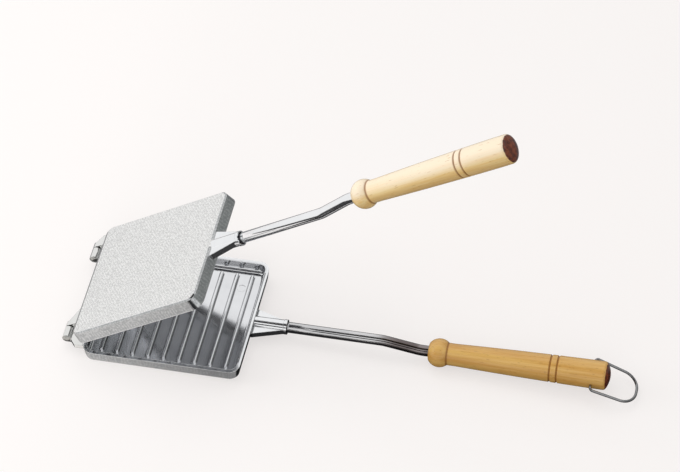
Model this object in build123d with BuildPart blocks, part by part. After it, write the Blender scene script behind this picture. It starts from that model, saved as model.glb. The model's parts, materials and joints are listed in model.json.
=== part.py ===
"""Pie iron: two hinged cast trays with ribs, cranked rods, turned wooden grips and a wire latch loop.

Millimetres, +Z up. The origin is the centre of the lower tray's outer face, the one that sits on the stove.
+X runs from the hinge to the grips and +Y along the hinge. Each half has a seat plane on the hinge line:
its X runs towards the grip, and its Z points out of the mating plane, away from the other half.
"""
from build123d import *
from math import cos, radians, sin, tan
import os

os.makedirs("parts", exist_ok=True)

# Trays
tray_length = 132.0
tray_width = 120.0
tray_height = 11.0
corner_radius = 9.0
wall_draft = 8.0
face_chamfer = 1.2
rim_land = 3.0
cavity_depth = 8.0
cavity_draft = 12.0
cavity_fillet = 3.0

# Ribs across the cavity floor, and the round mark that an ejector leaves between two of them
rib_count = 9
rib_pitch = 13.1
rib_end_gap = 11.0
rib_width = 3.0
rib_height = 2.5
mark_diameter = 7.0
mark_depth = 0.2
mark_inset = 24.7

# Hinge
hinge_reach = 15.4
opening_angle = 32.5
barrel_radius = 3.8
ear_inset = 16.8
lower_ear_length = 10.2
upper_ear_length = 5.0
ear_gap = 0.8
web_clearance = 0.3
lower_web_spread = 5.0
lower_web_shoulder = 8.0
upper_web_start = 0.5
upper_web_spread = 19.0
upper_outer_shoulder = 7.0
edge_margin = 0.4
pin_diameter = 4.0
pin_head_diameter = 7.0
pin_head_height = 1.5
pin_head_margin = 0.4
pin_running_clearance = 0.05
pin_fixed_clearance = 0.02

# Rod sockets
socket_length = 27.5
socket_diameter = 11.6
socket_depth = 24.0
collar_diameter = 12.4
collar_length = 2.6
collar_gap = 0.2
socket_web_spread = 26.0
socket_web_near = 4.6
socket_web_far = 9.8
socket_web_end = 5.0
cast_into = 2.0

# Rods
rod_diameter = 9.0
rod_clearance = 0.02
rod_end_play = 1.0
straight_to_bend = 108.3
crank_length = 30.0
crank_offset = 5.8
bend_radius = 30.0
rod_in_grip = 50.0

# Grips
crank_to_grip = 7.7
grip_length = 149.5
bead_length = 15.6
bead_radius = 11.8
bead_front_radius = 7.6
neck_radius = 9.2
neck_length = 7.0
belly_radius = 11.7
belly_to_end = 15.5
swell_bulge = 0.35
end_round = 3.2
dome_half_angle = 30.0
grooves_to_end = (49.0, 43.1)
groove_depth = 0.9

# Wire loop
wire_diameter = 2.2
wire_clearance = 0.05
pivot_to_end = 14.5
loop_reach = 38.8
loop_leg = 16.6
loop_end_half = 14.2
loop_corner_radius = 13.5
wire_bend_radius = 2.6
wire_depth = 4.4
wire_end_play = 0.6
loop_droop = 23.0

# Places worked out from the sizes above
hinge_x = -(hinge_reach + tray_length / 2)
hinge_z = tray_height
tray_middle = hinge_reach + tray_length / 2
handle_side = hinge_reach + tray_length
rib_length = tray_width - 2 * rib_end_gap
rib_foot = rib_height - rib_width / 2
socket_mouth = handle_side + socket_length
rod_height = collar_diameter / 2 + collar_gap
bend_at = handle_side + straight_to_bend
crank_end = bend_at + crank_length
grip_height = rod_height + crank_offset
grip_start = crank_end + crank_to_grip
ear_centre = tray_width / 2 - ear_inset
rod_root = socket_mouth - socket_depth + rod_end_play
rod_tip = grip_start + rod_in_grip
swell_start = bead_length + neck_length
belly_at = grip_length - belly_to_end
pivot_at = grip_length - pivot_to_end
dome_chord = belly_radius - end_round * (1 - sin(radians(dome_half_angle)))
dome_height = dome_chord * tan(radians(dome_half_angle / 2))
rim_start = grip_length - dome_height - end_round * cos(radians(dome_half_angle))
upper_face = lower_ear_length / 2 + ear_gap
upper_outer_spread = tray_width / 2 - edge_margin - (ear_centre + upper_face + upper_ear_length)

lower_seat = Plane(origin=(hinge_x, 0, hinge_z), x_dir=(1, 0, 0), z_dir=(0, 0, -1))
upper_seat = Plane(origin=(hinge_x, 0, hinge_z)).rotated((0, -opening_angle, 0))

# Each ear: the face beside the other half's ear and its barrel's length, then its web: how far from the
# hinge line it starts to spread, how far it spreads along the tray, and where that spread is complete.
# Faces are places along the seat's own Y.
lower_web = (pin_head_diameter / 2 + pin_head_margin, lower_web_spread, lower_web_shoulder)
lower_ears = (
    (ear_centre - lower_ear_length / 2, lower_ear_length, *lower_web),
    (-ear_centre - lower_ear_length / 2, lower_ear_length, *lower_web),
)
upper_ears = (
    (ear_centre + upper_face, upper_ear_length, upper_web_start, upper_outer_spread, upper_outer_shoulder),
    (-ear_centre + upper_face, upper_ear_length, upper_web_start, upper_web_spread, hinge_reach),
)


def side_plane(seat):
    """The half's middle plane: X towards the grip, Y out of the mating plane."""
    return Plane(origin=seat.origin, x_dir=seat.x_dir, z_dir=-seat.y_dir)


# One rib, lying along Y on its own floor: a slot-shaped block with its top rounded over
with BuildPart() as rib:
    with BuildSketch():
        SlotOverall(rib_length, rib_width, rotation=90)
    extrude(amount=rib_height)
    with BuildSketch(Plane.XZ):
        Rectangle(rib_width, rib_foot, align=(Align.CENTER, Align.MIN))
        with Locations((0, rib_foot)):
            Circle(rib_width / 2)
    extrude(amount=rib_length / 2, both=True, mode=Mode.INTERSECT)


# Trays: a drafted block with ears and a socket, hollowed by a drafted cavity, then ribbed
for name, seat, ears, pin_clearance in (
    ("lower_plate", lower_seat, lower_ears, pin_fixed_clearance),
    ("upper_plate", upper_seat, upper_ears, pin_running_clearance),
):
    outward = Axis(seat.origin, seat.z_dir)
    side = side_plane(seat)
    mouth_centre = seat.from_local_coords((socket_mouth, 0, rod_height))
    mouth = Plane(origin=mouth_centre, x_dir=seat.y_dir, z_dir=seat.x_dir)
    with BuildPart() as tray:
        with BuildSketch(seat):
            with Locations((tray_middle, 0)):
                RectangleRounded(tray_length, tray_width, corner_radius)
        extrude(amount=tray_height, taper=wall_draft)
        chamfer(tray.faces().sort_by(outward)[-1].edges(), face_chamfer)

        # Hinge ears: a round barrel on the hinge line and a flat web that spreads into the tray's side
        for face, length, web_start, spread, shoulder in ears:
            end = face + length
            with BuildSketch(side.offset(-face)):
                Circle(barrel_radius)
            extrude(amount=-length)
            with BuildSketch(seat.offset(web_clearance)):
                with BuildLine():
                    Polyline(
                        (0, face),
                        (hinge_reach + corner_radius, face),
                        (hinge_reach + corner_radius, end + spread),
                        (shoulder, end + spread),
                        (web_start, end),
                        (0, end),
                        close=True,
                    )
                make_face()
            extrude(amount=barrel_radius - web_clearance)

        # Handle socket: a tube with a collar at its mouth, braced by a flat web on each side
        with BuildSketch(mouth):
            Circle(socket_diameter / 2)
        extrude(amount=-(socket_length + cast_into))
        with BuildSketch(mouth):
            Circle(collar_diameter / 2)
        extrude(amount=-collar_length)
        with BuildSketch(seat.offset(socket_web_near)):
            with BuildLine():
                Polyline(
                    (handle_side - cast_into, socket_web_spread / 2),
                    (handle_side, socket_web_spread / 2),
                    (socket_mouth - collar_length, socket_web_end),
                    (socket_mouth - collar_length, -socket_web_end),
                    (handle_side, -socket_web_spread / 2),
                    (handle_side - cast_into, -socket_web_spread / 2),
                    close=True,
                )
            make_face()
        extrude(amount=socket_web_far - socket_web_near)

        # Cavity with a rounded floor edge
        with BuildSketch(seat):
            with Locations((tray_middle, 0)):
                RectangleRounded(
                    tray_length - 2 * rim_land, tray_width - 2 * rim_land, corner_radius - rim_land
                )
        extrude(amount=cavity_depth, taper=cavity_draft, mode=Mode.SUBTRACT)
        floor = tray.faces().filter_by(outward).sort_by(SortBy.AREA)[-2]
        fillet(floor.outer_wire().edges(), cavity_fillet)

        # Ribs in a row on the cavity floor, and the ejector's mark between two of them
        with Locations(seat.offset(cavity_depth)):
            with Locations((tray_middle, 0)):
                with GridLocations(rib_pitch, 0, rib_count, 1):
                    add(rib.part, rotation=(180, 0, 0))
        with BuildSketch(seat.offset(cavity_depth)):
            with Locations((tray_middle + (rib_count // 2 - 0.5) * rib_pitch, mark_inset - tray_width / 2)):
                Circle(mark_diameter / 2)
        extrude(amount=mark_depth, mode=Mode.SUBTRACT)

        # Bores for the pins and for the rod
        for face, length, *_ in ears:
            with BuildSketch(side.offset(-face)):
                Circle(pin_diameter / 2 + pin_clearance)
            extrude(amount=-length, mode=Mode.SUBTRACT)
        with BuildSketch(mouth):
            Circle(rod_diameter / 2 + rod_clearance)
        extrude(amount=-socket_depth, mode=Mode.SUBTRACT)
    tray.part.label = name
    export_step(tray.part, f"parts/{name}.step")


# Hinge pins: a domed head on the lower ear's outer end and a shank that ends flush with the upper ear
for name, centre in (("hinge_pin_near", -ear_centre), ("hinge_pin_far", ear_centre)):
    head_seat = (hinge_x, centre - lower_ear_length / 2, hinge_z)
    shank = Plane(origin=head_seat, x_dir=(0, 1, 0), z_dir=(1, 0, 0))
    shank_length = lower_ear_length + ear_gap + upper_ear_length
    with BuildPart() as pin:
        with BuildSketch(shank):
            with BuildLine():
                TangentArc((-pin_head_height, 0), (0, pin_head_diameter / 2), tangent=(0, 1))
                Polyline(
                    (0, pin_head_diameter / 2),
                    (0, pin_diameter / 2),
                    (shank_length, pin_diameter / 2),
                    (shank_length, 0),
                    (-pin_head_height, 0),
                )
            make_face()
        revolve(axis=Axis(shank.origin, shank.x_dir))
    pin.part.label = name
    export_step(pin.part, f"parts/{name}.step")


# Rods: straight from the socket, cranked away from the other half, and straight again inside the grip
for name, seat in (("lower_rod", lower_seat), ("upper_rod", upper_seat)):
    with BuildPart() as rod:
        with BuildLine(side_plane(seat)) as route:
            FilletPolyline(
                (rod_root, rod_height),
                (bend_at, rod_height),
                (crank_end, grip_height),
                (rod_tip, grip_height),
                radius=bend_radius,
            )
        with BuildSketch(Plane(origin=route.line @ 0, z_dir=route.line % 0)):
            Circle(rod_diameter / 2)
        sweep()
    rod.part.label = name
    export_step(rod.part, f"parts/{name}.step")


# Grips: one turned profile with two V grooves, bored for the rod. The lower one also has the loop's holes
for name, seat, has_loop in (("lower_grip", lower_seat, True), ("upper_grip", upper_seat, False)):
    side = side_plane(seat)
    bead_centre = side.from_local_coords((grip_start, grip_height, 0))
    turning = Plane(origin=bead_centre, x_dir=side.x_dir, z_dir=side.z_dir)
    spindle = Axis(turning.origin, turning.x_dir)
    with BuildPart() as grip:
        with BuildSketch(turning):
            with BuildLine():
                bead = ThreePointArc(
                    (0, bead_front_radius),
                    (bead_length / 2, bead_radius),
                    (bead_length, neck_radius),
                )
                neck = Line(bead @ 1, (swell_start, neck_radius))
                swell = ThreePointArc(
                    neck @ 1,
                    ((swell_start + belly_at) / 2, (neck_radius + belly_radius) / 2 + swell_bulge),
                    (belly_at, belly_radius),
                )
                butt = Line(swell @ 1, (rim_start, belly_radius))
                rim = JernArc(butt @ 1, butt % 1, end_round, dome_half_angle - 90)
                dome = JernArc(rim @ 1, rim % 1, dome_chord / sin(radians(dome_half_angle)), -dome_half_angle)
                Line(dome @ 1, (0, 0))
                Line((0, 0), bead @ 0)
            make_face()
        revolve(axis=spindle)
        for to_end in grooves_to_end:
            place = grip_length - to_end
            share = (place - swell_start) / (belly_at - swell_start)
            with BuildSketch(turning):
                with Locations((place, (swell @ share).Y)):
                    RegularPolygon(groove_depth, 4)
            revolve(axis=spindle, mode=Mode.SUBTRACT)
        with BuildSketch(Plane(origin=turning.origin, z_dir=turning.x_dir)):
            Circle(rod_diameter / 2 + rod_clearance)
        extrude(amount=rod_in_grip + rod_end_play, mode=Mode.SUBTRACT)
        if has_loop:
            for hand in (-1, 1):
                with BuildSketch(turning.offset(hand * belly_radius)):
                    with Locations((pivot_at, 0)):
                        Circle(wire_diameter / 2 + wire_clearance)
                extrude(amount=-hand * (wire_depth + wire_end_play), mode=Mode.SUBTRACT)
    grip.part.label = name
    export_step(grip.part, f"parts/{name}.step")


# Wire loop: its bent-in ends sit in the lower grip's holes, and it droops below the grip's line
pivot = lower_seat.from_local_coords((grip_start + pivot_at, 0, grip_height))
loop_plane = Plane(origin=pivot).rotated((0, loop_droop, 0))
wire_inner = belly_radius - wire_depth
with BuildPart() as loop:
    with BuildLine(loop_plane) as wire:
        FilletPolyline(
            (0, -wire_inner),
            (0, -loop_leg),
            (loop_reach, -loop_end_half),
            (loop_reach, loop_end_half),
            (0, loop_leg),
            (0, wire_inner),
            radius=(wire_bend_radius, loop_corner_radius, loop_corner_radius, wire_bend_radius),
        )
    with BuildSketch(Plane(origin=wire.line @ 0, z_dir=wire.line % 0)):
        Circle(wire_diameter / 2)
    sweep()
loop.part.label = "latch_loop"
export_step(loop.part, "parts/latch_loop.step")
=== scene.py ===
"""Finish of a pie iron: cast trays, hinge pins, chromed rods, turned beech grips and a wire latch loop.

Metres, in the part's own frame: the origin is under the lower tray, +X runs from the hinge to the grips.
Each half also has coordinates of its own from the hinge line: along the half to its grip, across it, and
out of its mating plane.
"""

import json
from math import cos, pi, radians, sin, tan

import bpy
import numpy as np
from mathutils import Matrix, Vector


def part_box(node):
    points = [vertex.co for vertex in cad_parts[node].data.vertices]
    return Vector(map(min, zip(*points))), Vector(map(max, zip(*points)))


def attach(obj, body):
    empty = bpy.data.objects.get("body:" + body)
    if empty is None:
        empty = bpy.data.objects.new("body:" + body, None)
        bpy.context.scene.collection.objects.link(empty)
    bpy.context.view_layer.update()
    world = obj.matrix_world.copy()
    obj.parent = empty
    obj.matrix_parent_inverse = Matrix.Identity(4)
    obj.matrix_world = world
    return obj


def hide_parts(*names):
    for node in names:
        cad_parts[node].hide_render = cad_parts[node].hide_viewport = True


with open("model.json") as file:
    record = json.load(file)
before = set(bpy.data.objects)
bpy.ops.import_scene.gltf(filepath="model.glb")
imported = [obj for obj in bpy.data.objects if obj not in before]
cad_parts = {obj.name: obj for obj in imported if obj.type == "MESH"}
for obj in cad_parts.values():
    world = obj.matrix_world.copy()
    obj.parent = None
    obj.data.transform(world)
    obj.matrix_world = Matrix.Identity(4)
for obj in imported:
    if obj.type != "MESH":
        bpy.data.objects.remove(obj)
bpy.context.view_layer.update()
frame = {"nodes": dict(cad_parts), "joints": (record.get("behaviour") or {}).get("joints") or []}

# ---- Trays ---------------------------------------------------------------------------------------------
# Two castings from one mould, in aluminium. The outer face keeps the mould's fine hatching, the drafted
# walls are linished along their length, and the ribbed cavity is polished so that the bread lets go.
joints = {joint["name"]: joint for joint in frame["joints"]}
hinge = Vector(joints["tray_hinge"]["pos_m"])
opening = radians(-joints["tray_hinge"]["range_deg"][0])
half_axes = {
    "lower": Matrix(((1, 0, 0), (0, -1, 0), (0, 0, -1))),
    "upper": Matrix(((cos(opening), 0, sin(opening)), (0, 1, 0), (-sin(opening), 0, cos(opening)))),
}
tray_height = hinge.z
tray_half_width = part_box("lower_plate")[1].y
tray_half_length = 0.066
corner_radius = 0.009
rim_land = 0.003
wall_slope = tan(radians(10))
cavity_depth = 0.008
rib_pitch = 0.0131
rib_half_length = 0.049
rib_shade_offset = 0.00175
rib_shade_width = 0.0006
socket_mouth = 0.0935
socket_axis = 0.0064
socket_gap = 0.0050
hinge_side_edge = -0.0618
fade = 0.0002
edge_radius = 0.0005
hatch_pitch = 0.0021
hatch_turn = radians(38)
relief_depth = 0.0001


def tone(red, green, blue):
    """A surface colour given as it looks on screen, 0 to 255, in the linear values that shaders take."""
    screen = np.array([red, green, blue]) / 255
    linear = np.where(screen > 0.04045, ((screen + 0.055) / 1.055) ** 2.4, screen / 12.92)
    return (*linear.tolist(), 1.0)


def node(tree, kind, inputs=(), **settings):
    """A shader node. Each input is given a plain value, or the socket that feeds it."""
    made = tree.nodes.new("ShaderNode" + kind)
    for name, value in settings.items():
        setattr(made, name, value)
    for name, value in dict(inputs).items():
        if isinstance(value, bpy.types.NodeSocket):
            tree.links.new(value, made.inputs[name])
        else:
            made.inputs[name].default_value = value
    return made.outputs


def maths(tree, operation, *values):
    """Arithmetic on masks and heights."""
    return node(tree, "Math", enumerate(values), operation=operation)[0]


def ramp(tree, value, low, high):
    """0 at `low` and below, 1 at `high` and above, smooth between; low may be the larger."""
    ends = {"Value": value, "From Min": low, "From Max": high}
    return node(tree, "MapRange", ends, interpolation_type="SMOOTHSTEP")[0]


def between(tree, mask, low, high):
    """`low` where the mask is 0 and `high` where it is 1."""
    return node(tree, "MapRange", {"Value": mask, "To Min": low, "To Max": high})[0]


def mixed(tree, mask, first, second):
    """The first colour where the mask is 0 and the second where it is 1."""
    return node(tree, "Mix", {0: mask, 6: first, 7: second}, data_type="RGBA")[2]


def coated(tree, colour, *coats):
    """A colour under other ones: each coat is its mask, how strongly it covers there, and its colour."""
    for mask, strength, coat in coats:
        colour = mixed(tree, maths(tree, "MULTIPLY", mask, strength), colour, coat)
    return colour


def new_group(name, inputs, outputs):
    """A node group with those sockets, and the sockets that lead into it and out of it."""
    tree = bpy.data.node_groups.new(name, "ShaderNodeTree")
    for socket, kind in inputs.items():
        tree.interface.new_socket(socket, in_out="INPUT", socket_type="NodeSocket" + kind)
    for socket, kind in outputs.items():
        tree.interface.new_socket(socket, in_out="OUTPUT", socket_type="NodeSocket" + kind)
    return tree, tree.nodes.new("NodeGroupInput").outputs, tree.nodes.new("NodeGroupOutput").inputs


def own_coordinates(tree, half, origin=(0, 0, 0)):
    """Object coordinates turned into the half's own, counted from `origin` in them."""
    axes = half_axes[half]
    start = -(axes @ hinge) - Vector(origin)
    settings = {"Vector": node(tree, "TexCoord")["Object"], "Location": start, "Rotation": axes.to_euler()}
    return node(tree, "Mapping", settings)[0]


def new_material(name):
    """A material with its node tree and its Principled shader."""
    material = bpy.data.materials.new(name)
    material.use_nodes = True
    return material, material.node_tree, material.node_tree.nodes["Principled BSDF"]


def feed(tree, shader, inputs):
    """Joins sockets to the shader, or sets its plain values."""
    for name, value in inputs.items():
        if isinstance(value, bpy.types.NodeSocket):
            tree.links.new(value, shader.inputs[name])
        else:
            shader.inputs[name].default_value = value


# Masks of a tray's finishes and marks of use, from a place counted from the middle of its mating plane.
# Reach is the distance past a rectangle whose corners are the centres of the tray's corner arcs. Depth
# doesn't count in it.
zone_names = ("Cavity", "Rib shade", "Face", "Rim", "Corner", "Fitting", "Ears", "Hinge side", "Mouth")
tray_zones, given, out = new_group(
    "tray_zones", {"Place": "Vector"}, dict.fromkeys(zone_names, "Float")
)
core = (tray_half_length - corner_radius, tray_half_width - corner_radius, 1)
past = node(tray_zones, "VectorMath", {0: given["Place"]}, operation="ABSOLUTE")[0]
past = node(tray_zones, "VectorMath", {0: past, 1: core}, operation="SUBTRACT")[0]
past = node(tray_zones, "VectorMath", {0: past, 1: (0, 0, 0)}, operation="MAXIMUM")[0]
reach = node(tray_zones, "VectorMath", {0: past}, operation="LENGTH")["Value"]
past = node(tray_zones, "SeparateXYZ", {0: past})
along, across, depth = node(tray_zones, "SeparateXYZ", {0: given["Place"]})
on_tray = ramp(tray_zones, reach, corner_radius + 2 * fade, corner_radius + fade)
off_tray = maths(tray_zones, "SUBTRACT", 1, on_tray)
at_face = ramp(tray_zones, depth, tray_height - 1.5 * fade, tray_height - 0.5 * fade)
at_rim = ramp(tray_zones, depth, 2 * fade, fade)
at_corner = ramp(tray_zones, maths(tray_zones, "MINIMUM", past["X"], past["Y"]), 0, 0.002)

# The cavity is bounded in the middle of the rim's land, and both of its walls are taken at one mean draft
land_middle = corner_radius - rim_land / 2
drafted = maths(tray_zones, "MULTIPLY_ADD", depth, wall_slope, reach)
inside = ramp(tray_zones, drafted, land_middle + 1.5 * fade, land_middle - 1.5 * fade)
shallow = ramp(tray_zones, depth, tray_height - 0.001, cavity_depth + 0.001)
in_cavity = maths(tray_zones, "MULTIPLY", inside, shallow)

# Painted shade in the corners on both sides of each rib
from_rib = maths(tray_zones, "PINGPONG", along, rib_pitch / 2)
from_foot = maths(tray_zones, "ABSOLUTE", maths(tray_zones, "SUBTRACT", from_rib, rib_shade_offset))
from_middle = maths(tray_zones, "ABSOLUTE", across)
at_foot = maths(
    tray_zones,
    "MULTIPLY",
    ramp(tray_zones, from_foot, rib_shade_width, rib_shade_width / 2),
    ramp(tray_zones, from_middle, rib_half_length, rib_half_length - 0.001),
)

# Painted shade on the hinge's side of the tray below the rim, and a ring of painted shade round the rod in
# the socket's end face, where the gap between them is
on_hinge_side = maths(
    tray_zones,
    "MULTIPLY",
    ramp(tray_zones, along, hinge_side_edge, hinge_side_edge - 2 * fade),
    ramp(tray_zones, depth, 0.0005, 0.001),
)
from_axis = node(
    tray_zones, "VectorMath", {0: given["Place"], 1: (0, 0, socket_axis)}, operation="SUBTRACT"
)[0]
from_axis = node(tray_zones, "VectorMath", {0: from_axis, 1: (0, 1, 1)}, operation="MULTIPLY")[0]
from_axis = node(tray_zones, "VectorMath", {0: from_axis}, operation="LENGTH")["Value"]
in_gap = ramp(tray_zones, from_axis, socket_gap + 2 * fade, socket_gap)
at_mouth = ramp(tray_zones, along, socket_mouth - fade, socket_mouth - 0.5 * fade)

zone_masks = {
    "Cavity": in_cavity,
    "Rib shade": maths(tray_zones, "MULTIPLY", in_cavity, at_foot),
    "Face": maths(tray_zones, "MULTIPLY", at_face, on_tray),
    "Rim": maths(tray_zones, "MULTIPLY", at_rim, on_tray),
    "Corner": maths(tray_zones, "MULTIPLY", at_corner, ramp(tray_zones, along, 0, 0.01)),
    "Fitting": off_tray,
    "Ears": maths(tray_zones, "MULTIPLY", off_tray, ramp(tray_zones, along, 0, -0.01)),
    "Hinge side": maths(tray_zones, "MULTIPLY", on_hinge_side, on_tray),
    "Mouth": maths(tray_zones, "MULTIPLY", at_mouth, in_gap),
}
for name, mask in zone_masks.items():
    tray_zones.links.new(mask, out[name])

# Fine mottled hatching: two slanting rows of short strokes that break up and cross
hatching, given, out = new_group("mould_hatching", {"Place": "Vector"}, {"Height": "Float"})
strokes = []
for turn in (hatch_turn, -hatch_turn):
    slanted = node(hatching, "Mapping", {"Vector": given["Place"], "Rotation": (0, 0, turn)})[0]
    rows = {"Vector": slanted, "Scale": pi / 10 / hatch_pitch, "Distortion": 2.5, "Detail": 2}
    strokes.append(node(hatching, "TexWave", rows)["Fac"])
patches = node(hatching, "TexNoise", {"Vector": given["Place"], "Scale": 650, "Detail": 2})["Fac"]
patches = ramp(hatching, patches, 0.35, 0.6)
crossed = maths(hatching, "MAXIMUM", *strokes)
hatching.links.new(maths(hatching, "MULTIPLY", crossed, patches), out["Height"])

# Lines left by a belt, a mop or a die: noise drawn out along the directions with a small stretch value. The
# cloud is the slow change from place to place under them.
drawn_lines, given, out = new_group(
    "drawn_lines", {"Place": "Vector", "Stretch": "Vector"}, {"Lines": "Float", "Cloud": "Float"}
)
stretch = {0: given["Place"], 1: given["Stretch"]}
stretched = node(drawn_lines, "VectorMath", stretch, operation="MULTIPLY")[0]
fine_noise = {"Vector": stretched, "Scale": 1, "Detail": 4, "Roughness": 0.7}
drawn_lines.links.new(node(drawn_lines, "TexNoise", fine_noise)["Fac"], out["Lines"])
soft_noise = {"Vector": given["Place"], "Scale": 55, "Detail": 4}
drawn_lines.links.new(node(drawn_lines, "TexNoise", soft_noise)["Fac"], out["Cloud"])

# Rounded edges, and the mask of the edges, which get a painted highlight
rounded_edges, given, out = new_group(
    "rounded_edges", {"Radius": "Float"}, {"Normal": "Vector", "Edge": "Float"}
)
rounded = node(rounded_edges, "Bevel", {"Radius": given["Radius"]}, samples=6)[0]
flat = node(rounded_edges, "NewGeometry")["Normal"]
likeness = node(rounded_edges, "VectorMath", {0: rounded, 1: flat}, operation="DOT_PRODUCT")["Value"]
rounded_edges.links.new(rounded, out["Normal"])
rounded_edges.links.new(ramp(rounded_edges, likeness, 0.995, 0.93), out["Edge"])

# Painted shade on the walls, which grows towards the grip's end, strong on the lower half and faint on the
# upper: how strong it is at the hinge's end and at the grip's end
wall_shade_ends = {"lower": (0.18, 0.72), "upper": (0.0, 0.1)}
wall_shade_tone = tone(92, 94, 97)
rib_shade_tone = tone(92, 92, 94)
edge_highlight_tone = tone(251, 251, 251)
hinge_side_shade_tone = tone(142, 142, 143)
socket_gap_shade_tone = tone(80, 80, 82)
for half, (shade_at_hinge, shade_at_grip) in wall_shade_ends.items():
    cast, tree, shader = new_material(f"cast_aluminium_{half}")
    place = own_coordinates(tree, half, (-hinge.x, 0, 0))
    zones = node(tree, "Group", {"Place": place}, node_tree=tray_zones)
    hatch = node(tree, "Group", {"Place": place}, node_tree=hatching)[0]
    linished = node(tree, "Group", {"Place": place, "Stretch": (30, 30, 3500)}, node_tree=drawn_lines)
    mopped = node(tree, "Group", {"Place": place, "Stretch": (2500, 40, 2500)}, node_tree=drawn_lines)
    edges = node(tree, "Group", {"Radius": edge_radius}, node_tree=rounded_edges)
    cavity, face = zones["Cavity"], zones["Face"]
    bare = maths(tree, "MAXIMUM", cavity, maths(tree, "MAXIMUM", zones["Rim"], zones["Fitting"]))

    along = node(tree, "SeparateXYZ", {0: place})["X"]
    wall_shade_ramp = ramp(tree, along, -tray_half_length, tray_half_length)
    wall_tone = coated(
        tree,
        mixed(tree, linished["Cloud"], tone(148, 151, 152), tone(188, 190, 191)),
        (hatch, 0.7, tone(218, 219, 219)),
        # painted shade on the walls, growing towards the grip's end
        (between(tree, wall_shade_ramp, shade_at_hinge, shade_at_grip), 1, wall_shade_tone),
    )
    colour = coated(
        tree,
        wall_tone,
        (bare, 1, mixed(tree, mopped["Cloud"], tone(226, 227, 229), tone(244, 245, 246))),
        # the hinge's ears are a little darker than the other fittings: painted shade under the upper half
        (zones["Ears"], 1, mixed(tree, mopped["Cloud"], tone(208, 208, 206), tone(238, 238, 236))),
        (cavity, 1, mixed(tree, mopped["Cloud"], tone(206, 207, 210), tone(236, 237, 239))),
        (face, 1, mixed(tree, hatch, tone(220, 220, 219), tone(253, 253, 252))),
        # painted highlight along the rounded edges
        (edges["Edge"], 0.8, edge_highlight_tone),
        # painted shade on the hinge's side below the rim
        (zones["Hinge side"], 0.9, hinge_side_shade_tone),
        # painted shade in the ring round the rod, where the gap is
        (zones["Mouth"], 1, socket_gap_shade_tone),
        # painted shade at the feet of the ribs
        (zones["Rib shade"], 0.75, rib_shade_tone),
    )

    satin = between(tree, linished["Lines"], 0.2, 0.4)
    polish = between(tree, mopped["Cloud"], 0.04, 0.14)
    roughness = between(tree, maths(tree, "MAXIMUM", bare, zones["Corner"]), satin, polish)
    roughness = between(tree, face, roughness, between(tree, hatch, 0.5, 0.36))

    on_walls = maths(tree, "SUBTRACT", 1, maths(tree, "MAXIMUM", bare, face))
    height = 0
    for lines, where, strength in (
        (linished["Lines"], on_walls, 0.5),
        (mopped["Lines"], cavity, 0.12),
        (hatch, face, 2.0),
    ):
        there = maths(tree, "MULTIPLY", lines, maths(tree, "MULTIPLY", where, strength))
        height = maths(tree, "ADD", there, height)
    relief = {"Height": height, "Normal": edges["Normal"], "Strength": 0.5, "Distance": relief_depth}
    bump = node(tree, "Bump", relief)[0]
    feed(tree, shader, {"Base Color": colour, "Metallic": 1.0, "Roughness": roughness, "Normal": bump})
    frame["nodes"][f"{half}_plate"].data.materials[0] = cast


# ---- Hinge pins ----------------------------------------------------------------------------------------
# Two steel rivets carry the hinge. Each has a domed head against the lower half's ear, and its shank runs
# through the upper half's ear to a trimmed end that lies flush.
pin_radius = 0.002
pin_head_height = 0.0015
pin_edge = 0.0002


def skin(name, rings):
    """A closed mesh over rings[i, j]: each ring is joined to the next, point by point, and the first and
    last ring are closed on a pole at their own middle."""
    count, around = rings.shape[:2]
    mesh = bpy.data.meshes.new(name)
    poles = rings[[0, -1]].mean(axis=1)
    numbers = np.arange(count * around).reshape(count, around)
    beside = np.roll(numbers, -1, axis=1)
    quads = np.stack([numbers[:-1], beside[:-1], beside[1:], numbers[1:]], axis=-1).reshape(-1, 4)
    first = np.stack([np.full(around, count * around), beside[0], numbers[0]], axis=-1)
    last = np.stack([np.full(around, count * around + 1), numbers[-1], beside[-1]], axis=-1)
    points = np.concatenate([rings.reshape(-1, 3), poles])
    mesh.from_pydata(points.tolist(), [], quads.tolist() + first.tolist() + last.tolist())
    mesh.shade_smooth()
    piece = bpy.data.objects.new(name, mesh)
    bpy.context.scene.collection.objects.link(piece)
    return piece


def turned(name, profile, start, axis, side, around=72):
    """A surface of revolution: profile[i] is a distance along `axis` from `start` and a radius, and each is
    swung round the axis, from `side` towards the cross product of axis and side."""
    axis, side = np.array(axis), np.array(side)
    angle = np.linspace(0, 2 * pi, around, endpoint=False)[:, None]
    spokes = np.cos(angle) * side + np.sin(angle) * np.cross(axis, side)
    centres = np.array(start) + profile[:, :1] * axis
    return skin(name, centres[:, None] + profile[:, 1:, None] * spokes)


def arc(start, through, end, count=24):
    """Points of the circle through three points, from the first to the last by way of the middle one. The
    centre is where the middle lines of the two chords meet."""
    a, b, c = (np.array(point, float) for point in (start, through, end))
    centre = np.linalg.solve(2 * np.array([b - a, c - a]), [b @ b - a @ a, c @ c - a @ a])
    angles = np.unwrap([np.arctan2(*(point - centre)[::-1]) for point in (a, b, c)])
    swing = np.linspace(angles[0], angles[2], count)
    return centre + np.hypot(*(a - centre)) * np.stack([np.cos(swing), np.sin(swing)], axis=-1)


def drawn_metal(name, stretch, tones, line_strength, roughness, rough_by="Lines"):
    """A plain metal that keeps the lines of its drawing: its tone follows the cloud, and its roughness the
    lines or the cloud. Returns what a further coat needs, too."""
    material, tree, shader = new_material(name)
    place = node(tree, "TexCoord")["Object"]
    drawn = node(tree, "Group", {"Place": place, "Stretch": stretch}, node_tree=drawn_lines)
    colour = mixed(tree, drawn["Cloud"], *tones)
    relief = {"Height": drawn["Lines"], "Strength": line_strength, "Distance": relief_depth}
    bump = node(tree, "Bump", relief)[0]
    rough = between(tree, drawn[rough_by], *roughness)
    feed(tree, shader, {"Base Color": colour, "Metallic": 1.0, "Roughness": rough, "Normal": bump})
    return material, tree, shader, drawn, colour


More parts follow.
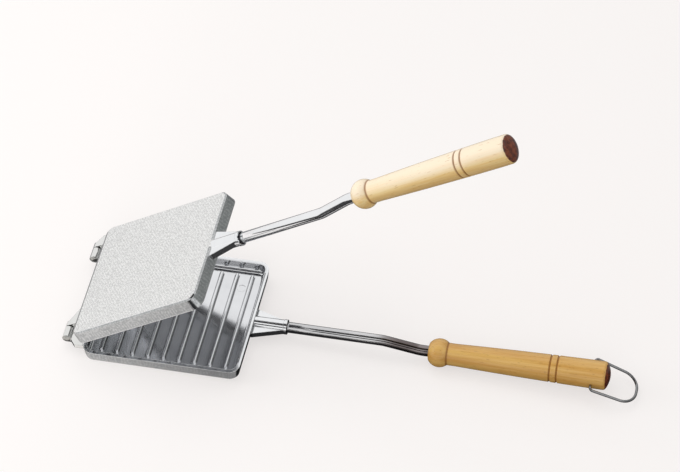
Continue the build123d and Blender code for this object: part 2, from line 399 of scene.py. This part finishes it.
steel = drawn_metal(
    "rivet_steel", (900, 900, 900), (tone(154, 154, 150), tone(196, 195, 191)), 0.3, (0.18, 0.4)
)[0]
for side in ("near", "far"):
    low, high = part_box(f"hinge_pin_{side}")
    head_radius = (high.z - low.z) / 2
    length = high.y - low.y
    dome_rise = pin_head_height - pin_edge
    dome = arc((0, 0), (dome_rise * 0.28, head_radius * 0.55), (dome_rise, head_radius))
    shank = [
        (pin_head_height, head_radius),
        (pin_head_height, pin_radius),
        (length - pin_edge, pin_radius),
        (length, pin_radius - pin_edge),
    ]
    profile = np.concatenate([dome[1:], shank])
    pin = turned(f"rivet_{side}", profile, (hinge.x, low.y, hinge.z), (0, 1, 0), (1, 0, 0), around=48)
    pin.data.materials.append(steel)
    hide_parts(f"hinge_pin_{side}")
    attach(pin, "lower_half")


# ---- Rods ----------------------------------------------------------------------------------------------
# Drawn steel rod, bent to a crank near the grip and bright chromed. It is pressed into the tray's socket
# at one end and driven into the grip at the other. The lower one is darker and browner, a little near the
# tray and fully from its crank to the grip.
rod_low, rod_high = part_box("lower_rod")
rod_radius = rod_high.y
rod_root = rod_low.x - hinge.x
rod_tip = rod_high.x - hinge.x
rod_depth = hinge.z - (rod_high.z - rod_radius)
grip_depth = hinge.z - (rod_low.z + rod_radius)
crank_start = 0.2557
crank_end = 0.2857
crank_bend_radius = 0.030
least_rod_darkening = 0.35
rod_darkening_grows = (crank_start - 0.012, crank_start + 0.010)


def rounded_route(corners, radii, spacing=0.001):
    """A route through corners in a plane: straight runs, and at each inner corner an arc that touches both
    runs, the radius times the tangent of half the turn before the corner."""
    corners = np.array(corners, float)
    runs = np.diff(corners, axis=0)
    runs /= np.linalg.norm(runs, axis=1, keepdims=True)
    pieces = [corners[:1]]
    for corner, before, after, radius in zip(corners[1:-1], runs[:-1], runs[1:], radii):
        turn = np.arctan2(before[0] * after[1] - before[1] * after[0], before @ after)
        left = np.array([-before[1], before[0]]) * np.sign(turn)
        start = corner - before * radius * np.tan(abs(turn) / 2)
        swing = np.linspace(0, abs(turn), max(9, int(abs(turn) * radius / spacing)))[:, None]
        pieces.append(start + radius * (np.sin(swing) * before + (1 - np.cos(swing)) * left))
    return np.concatenate([*pieces, corners[-1:]])


def tube(name, route, radius, origin, across, up, around=48):
    """A round bar along a flat route, whose points count along the axes `across` and `up` from `origin`.
    Each ring lies square to the route's own direction there, and a tenth of the radius is chamfered off
    both ends."""
    ahead = np.gradient(route, axis=0)
    ahead /= np.linalg.norm(ahead, axis=1, keepdims=True)
    axes = np.array([across, up])
    centres = np.array(origin) + route @ axes
    sides = np.stack([-ahead[:, 1], ahead[:, 0]], axis=-1) @ axes
    plane_normal = np.cross(*axes)
    chamfer = 0.1 * radius
    centres = np.concatenate([centres[:1], centres, centres[-1:]])
    centres[1] += chamfer * ahead[0] @ axes
    centres[-2] -= chamfer * ahead[-1] @ axes
    sides = np.concatenate([sides[:1], sides, sides[-1:]])
    radii = np.full(len(centres), radius)
    radii[[0, -1]] -= chamfer
    angle = np.linspace(0, 2 * pi, around, endpoint=False)[:, None]
    spokes = np.cos(angle) * sides[:, None] + np.sin(angle) * plane_normal
    return skin(name, centres[:, None] + radii[:, None, None] * spokes)


chrome, tree, shader, drawn, colour = drawn_metal(
    "bright_chrome",
    (60, 1500, 1500),
    (tone(226, 227, 229), tone(243, 244, 245)),
    0.12,
    (0.03, 0.14),
    rough_by="Cloud",
)
from_hinge = node(tree, "SeparateXYZ", {0: own_coordinates(tree, "lower")})
# the lower rod is darker and browner: a little near the tray, fully from its crank to the grip
rod_darkening = between(tree, ramp(tree, from_hinge["X"], *rod_darkening_grows), least_rod_darkening, 1)
on_lower = ramp(tree, from_hinge["Z"], 0, 0.001)
dark_rod_tone = mixed(tree, ramp(tree, drawn["Cloud"], 0.4, 0.6), tone(108, 100, 99), tone(140, 132, 131))
darkened_colour = mixed(tree, maths(tree, "MULTIPLY", rod_darkening, on_lower), colour, dark_rod_tone)
feed(tree, shader, {"Base Color": darkened_colour})

rod_route = rounded_route(
    [(rod_root, rod_depth), (crank_start, rod_depth), (crank_end, grip_depth), (rod_tip, grip_depth)],
    [crank_bend_radius, crank_bend_radius],
)
for half, axes in half_axes.items():
    rod = tube(f"{half}_bar", rod_route, rod_radius, hinge, axes[0], axes[2])
    rod.data.materials.append(chrome)
    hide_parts(f"{half}_rod")
    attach(rod, f"{half}_half")


# ---- Grips ---------------------------------------------------------------------------------------------
# Beech turned between centres: a bead at the rod, a neck, a slow swell to the butt and two V grooves. The
# grooves are burnt dark, the crease behind the bead is darkened as painted shade, the butt is dipped in
# brown stain, and clear lacquer covers the whole.
grip_low, grip_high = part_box("lower_grip")
grip_start = grip_low.x - hinge.x
grip_length = grip_high.x - grip_low.x
bead_length = 0.0156
bead_radius = 0.0118
bead_front_radius = 0.0076
neck_radius = 0.0092
neck_end = 0.0226
belly_radius = 0.0117
belly_at = grip_length - 0.0155
swell_bulge = 0.00035
swell_middle = ((neck_end + belly_at) / 2, (neck_radius + belly_radius) / 2 + swell_bulge)
rim_round = 0.0032
rim_turn = radians(60)
rim_start = grip_length - 0.00548
crown_middle = (grip_length - 0.0007, 0.0051)
front_round = 0.0008
start_radius = 0.003
groove_places = grip_length - np.array([0.0490, 0.0431])
groove_half_width = 0.0009
groove_floor = 0.85
stain_start = grip_length - 0.0031
stain_creep = 0.0008
sheen_and_shade_depth = (0.004, 0.011)


def grip_profile():
    """Arcs for the bead, swell, rim and crown, joined by straight runs, from a ring hidden in the rod to the
    butt. They are resampled finely near the grooves, where the radius drops by a V with a narrow floor."""
    rim_centre = np.array([rim_start, belly_radius - rim_round])
    halfway, end = (
        rim_centre + rim_round * np.array([sin(turn), cos(turn)]) for turn in (rim_turn / 2, rim_turn)
    )
    rim = arc((rim_start, belly_radius), halfway, end, 12)
    crown = arc(rim[-1], crown_middle, (grip_length, 0), 24)
    shoulder = np.array([front_round, bead_front_radius + 0.0007])
    front = arc(shoulder - (front_round, 0.0013), shoulder - (0.0006, 0.0008), shoulder, 6)
    bead = arc(shoulder, (bead_length / 2, bead_radius), (bead_length, neck_radius), 36)
    swell = arc((neck_end, neck_radius), swell_middle, (belly_at, belly_radius), 48)
    outline = np.concatenate([[(0, start_radius)], front, bead[1:], swell, rim, crown[1:-1]])
    run = np.concatenate([[0], np.cumsum(np.linalg.norm(np.diff(outline, axis=0), axis=1))])
    groove_runs = np.interp(groove_places, outline[:, 0], run)
    fine = groove_runs[:, None] + np.linspace(-1.5, 1.5, 25) * groove_half_width
    steps = np.sort(np.concatenate([run, np.linspace(0, run[-1], 200), fine.ravel()]))
    along, radius = (np.interp(steps, run, outline[:, axis]) for axis in (0, 1))
    off_centre = np.abs(along[:, None] - groove_places) / groove_half_width
    radius -= (groove_half_width * np.clip(1 - off_centre, 0, groove_floor)).sum(axis=1)
    return np.stack([along, radius], axis=-1)


# Beech: soft streaks that run with the spindle, finer lines inside them, and a few short dark flecks
beech_grain, given, out = new_group(
    "beech_grain", {"Place": "Vector"}, {"Streaks": "Float", "Flecks": "Float"}
)
layers = []
for stretch, detail in (((9, 150, 150), 3), ((30, 900, 900), 2), ((170, 1300, 1300), 1)):
    drawn_out = node(beech_grain, "VectorMath", {0: given["Place"], 1: stretch}, operation="MULTIPLY")[0]
    noise = {"Vector": drawn_out, "Scale": 1, "Detail": detail}
    layers.append(node(beech_grain, "TexNoise", noise)["Fac"])
soft, fine, short = layers
streaks = maths(beech_grain, "MULTIPLY_ADD", soft, 0.65, maths(beech_grain, "MULTIPLY", fine, 0.35))
beech_grain.links.new(ramp(beech_grain, streaks, 0.3, 0.7), out["Streaks"])
beech_grain.links.new(ramp(beech_grain, short, 0.66, 0.76), out["Flecks"])

# Each grip has another tone on its outer side, which is painted light: a painted sheen on the upper grip's
# top and painted shade on the lower grip's underside. The upper grip's tones are paler than the lower's,
# partly the wood's own tone and partly painted light. The tones are those of the dark streaks, the pale
# streaks, the flecks and the outer side.
grip_tones = {
    "upper": (tone(242, 196, 122), tone(253, 225, 164), tone(190, 138, 76), tone(250, 233, 206)),
    "lower": (tone(208, 154, 78), tone(230, 186, 108), tone(150, 98, 48), tone(204, 150, 78)),
}
burn_and_crease_shade_tone = tone(144, 86, 32)
stain_tones = tone(132, 66, 38), tone(78, 34, 22)
profile = grip_profile()
for half, axes in half_axes.items():
    wood, tree, shader = new_material(f"turned_beech_{half}")
    place = own_coordinates(tree, half, (grip_start, 0, grip_depth))
    streaks, flecks = node(tree, "Group", {"Place": place}, node_tree=beech_grain)
    dark, pale, fleck, sheen_and_shade_tone = grip_tones[half]
    along, _, outward = node(tree, "SeparateXYZ", {0: place})
    outward = maths(tree, "MULTIPLY_ADD", streaks, 0.002, outward)
    # painted sheen on the upper grip's top, painted shade on the lower grip's underside
    sheen_and_shade = ramp(tree, outward, *sheen_and_shade_depth)
    burns_and_crease_shade = []
    # the grooves are burnt; the crease behind the bead, at bead_length, gets the same darkening as painted
    # shade
    for groove in (bead_length, *groove_places):
        away = maths(tree, "ABSOLUTE", maths(tree, "SUBTRACT", along, groove))
        burn_and_shade = ramp(tree, away, groove_half_width * 1.4, groove_half_width * 0.2)
        burns_and_crease_shade.append((burn_and_shade, 0.75, burn_and_crease_shade_tone))
    soaked = node(tree, "TexNoise", {"Vector": place, "Scale": 300, "Detail": 3})["Fac"]
    edge = maths(tree, "MULTIPLY_ADD", soaked, stain_creep, along)
    stained = ramp(tree, edge, stain_start, stain_start + stain_creep / 2)
    stain = mixed(tree, ramp(tree, soaked, 0.35, 0.65), *stain_tones)
    grain = mixed(tree, streaks, dark, pale)
    colour = coated(
        tree, grain, (sheen_and_shade, 1, sheen_and_shade_tone), (flecks, 0.5, fleck), *burns_and_crease_shade, (stained, 1, stain)
    )
    height = maths(tree, "SUBTRACT", maths(tree, "MULTIPLY", streaks, 0.3), flecks)
    bump = node(tree, "Bump", {"Height": height, "Strength": 0.15, "Distance": relief_depth})[0]
    roughness = between(tree, streaks, 0.4, 0.5)
    feed(tree, shader, {"Base Color": colour, "Roughness": roughness, "Normal": bump})
    feed(tree, shader, {"Specular IOR Level": 0.0, "Coat Weight": 1.0, "Coat Roughness": 0.2})
    start = hinge + axes[0] * grip_start + axes[2] * grip_depth
    grip = turned(f"{half}_handle", profile, start, axes[0], axes[1], around=96)
    grip.data.materials.append(wood)
    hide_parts(f"{half}_grip")
    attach(grip, f"{half}_half")


# ---- Wire loop -----------------------------------------------------------------------------------------
# One length of bright steel wire, bent to a stirrup. Its two ends turn in and sit in holes in the sides of
# the lower grip, so that the loop hangs there or swings over the end of the upper one.
loop_pivot = Vector(joints["loop_pivot"]["pos_m"])
wire_radius = 0.0011
wire_inner = 0.0073
loop_leg = 0.0166
loop_reach = 0.0388
loop_end_half = 0.0142
loop_corner_radius = 0.0135
loop_elbow_radius = 0.0026
loop_droop = radians(23)

loop_route = rounded_route(
    [
        (0, -wire_inner),
        (0, -loop_leg),
        (loop_reach, -loop_end_half),
        (loop_reach, loop_end_half),
        (0, loop_leg),
        (0, wire_inner),
    ],
    [loop_elbow_radius, loop_corner_radius, loop_corner_radius, loop_elbow_radius],
    spacing=0.0004,
)
along_legs = (cos(loop_droop), 0, -sin(loop_droop))
loop = tube("stirrup", loop_route, wire_radius, loop_pivot, along_legs, (0, 1, 0), around=32)
wire = drawn_metal(
    "bright_wire", (700, 700, 700), (tone(122, 122, 123), tone(160, 160, 161)), 0.15, (0.05, 0.15)
)[0]
loop.data.materials.append(wire)
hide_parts("latch_loop")
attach(loop, "wire_loop")


# ---- Floor, light and camera ---------------------------------------------------------------------------
# A white table seen from the near side. Its top falls away very slightly from the hinge, because the tool
# stands on the tray's back edge and on the lower grip's bead.
back_edge = -0.0633 - hinge.x
bead_middle = grip_low.x + bead_length / 2 - hinge.x
ridge_softness = 0.04
table_reach = 4.0
table_drop = 0.00005
table_backlight = 0.64


def crowned(distance):
    """Height of a shallow ridge: a straight fall on both sides, rounded over on top."""
    return ridge_softness - np.hypot(distance, ridge_softness)


fall = grip_low.z / (crowned(bead_middle) - crowned(back_edge))


def staged(name, points, colour):
    """A sheet over points[i, j] with a matt colour, which is part of the studio and not of the tool."""
    mesh = bpy.data.meshes.new(name)
    numbers = np.arange(points.shape[0] * points.shape[1]).reshape(points.shape[:2])
    quads = np.stack([numbers[:-1, :-1], numbers[1:, :-1], numbers[1:, 1:], numbers[:-1, 1:]], axis=-1)
    mesh.from_pydata(points.reshape(-1, 3).tolist(), [], quads.reshape(-1, 4).tolist())
    mesh.shade_smooth()
    sheet = bpy.data.objects.new(name, mesh)
    bpy.context.scene.collection.objects.link(sheet)
    matt, tree, shader = new_material(name)
    feed(tree, shader, {"Base Color": colour, "Roughness": 0.9, "Specular IOR Level": 0.1})
    mesh.materials.append(matt)
    return sheet


def table_sheet(name, left, right, front, back, lift, colour):
    """A sheet that lies on the ridge: its height follows the distance along X from the hinge, over a grid
    that is closest near the hinge."""
    spread = np.linspace(-1, 1, 241) ** 3 * table_reach
    along = np.unique(np.clip(spread, left - hinge.x, right - hinge.x))[:, None]
    across = np.linspace(front, back, 3)[None, :]
    rise = fall * (crowned(along) - crowned(back_edge)) + lift
    points = np.stack(np.broadcast_arrays(hinge.x + along, across, rise), axis=-1)
    return staged(name, points, colour)


def seen(tree):
    """1 for a ray from the camera, a mirror or glass, and 0 for one that carries light on."""
    ray = node(tree, "LightPath")
    mirrored = maths(tree, "MAXIMUM", ray["Is Glossy Ray"], ray["Is Transmission Ray"])
    return maths(tree, "MAXIMUM", ray["Is Camera Ray"], mirrored)


table_tone = tone(158, 156, 154)
table_top = table_sheet(
    "table_top", -table_reach, table_reach, -table_reach, table_reach, -table_drop, table_tone
)
tree = table_top.data.materials[0].node_tree
backlight = maths(tree, "MULTIPLY", seen(tree), table_backlight)
glow = {"Emission Color": (1, 0.965, 0.955, 1), "Emission Strength": backlight}
feed(tree, tree.nodes["Principled BSDF"], glow)

# Cloth and card that only reflections show, so that polished metal has its darks. A canopy hangs over the
# table, and cloths stand round it: first and last bearing, low and high edge. Cards lie on it: left, front
# and back edge.
cloth_middle = 0.1
cloth_distance = 1.5
card_end = 1.5
card_lift = 0.00001
card_tone = tone(60, 60, 61)
cloths = {
    "right_cloth": (-30, 65, -0.05, 1.1, tone(206, 209, 208)),
    "front_cloth": (-135, -50, 0.75, 1.4, tone(70, 70, 71)),
}
cards = {
    "card_behind": (-0.25, 0.03, 1.5, tone(150, 151, 153)),
    # card_below is a painted shadow under the tool and its rods, seen only in reflections
    "card_below": (-0.09, -0.055, 0.03, card_tone),
    "card_in_front": (-1.5, -1.5, -0.24, card_tone),
    "card_by_rods": (0.02, -0.24, -0.08, card_tone),
}
canopy = np.array([[(-1, -0.75, 1.5), (-1, 0.3, 1.5)], [(1, -0.75, 1.5), (1, 0.3, 1.5)]])
dark_sheets = [staged("canopy", canopy, tone(90, 90, 91))]
for name, (first, last, low, high, colour) in cloths.items():
    bearing = np.radians(np.linspace(first, last, 25))[:, None]
    level = np.linspace(low, high, 5)[None, :]
    circle = (cloth_middle + cloth_distance * np.cos(bearing), cloth_distance * np.sin(bearing), level)
    dark_sheets.append(staged(name, np.stack(np.broadcast_arrays(*circle), axis=-1), colour))
for name, (left, front, back, colour) in cards.items():
    dark_sheets.append(table_sheet(name, left, card_end, front, back, card_lift, colour))
for sheet in dark_sheets:
    sheet.visible_camera = False
    sheet.visible_diffuse = False
    sheet.visible_shadow = False
    sheet.visible_transmission = False

# Three softboxes, which light the tool and aren't mirrored in it: place, width, height and radiance
softboxes = {
    "key": ((-1.45, -0.2, 0.75), 1.0, 1.0, 4.0),
    "top": ((-0.35, 0.5, 1.55), 1.5, 1.2, 1.15),
    "fill": ((0.3, -1.5, 0.9), 1.2, 0.8, 1.3),
}
for name, (spot, width, height, radiance) in softboxes.items():
    lamp = bpy.data.lights.new(name, "AREA")
    lamp.shape = "RECTANGLE"
    lamp.size = width
    lamp.size_y = height
    lamp.energy = radiance * pi * width * height
    box = bpy.data.objects.new(name, lamp)
    box.location = spot
    box.rotation_euler = (-Vector(spot)).to_track_quat("-Z", "Y").to_euler()
    box.visible_glossy = False
    bpy.context.scene.collection.objects.link(box)

# The white room is brighter in the picture and in reflections than in the light that it casts
room_light, room_seen = 0.58, 1.0
sky = bpy.data.worlds.new("white_room")
sky.use_nodes = True
tree = sky.node_tree
strength = between(tree, seen(tree), room_light, room_seen)
feed(tree, tree.nodes["Background"], {"Color": (1, 1, 1, 1), "Strength": strength})
bpy.context.scene.world = sky

camera_spot = Vector((0.619, -1.679, 2.1335))
camera_aim = Vector((0.1135, 0.1081, 0))
camera_roll = radians(-4.45)
camera = bpy.data.objects.new("camera", bpy.data.cameras.new("camera"))
camera.data.sensor_width = 36
camera.data.lens = 178
camera.location = camera_spot
aimed = (camera_aim - camera_spot).to_track_quat("-Z", "Y").to_matrix()
camera.rotation_euler = (aimed @ Matrix.Rotation(camera_roll, 3, "Z")).to_euler()
bpy.context.scene.collection.objects.link(camera)
bpy.context.scene.camera = camera
bpy.context.scene.view_settings.view_transform = "Standard"
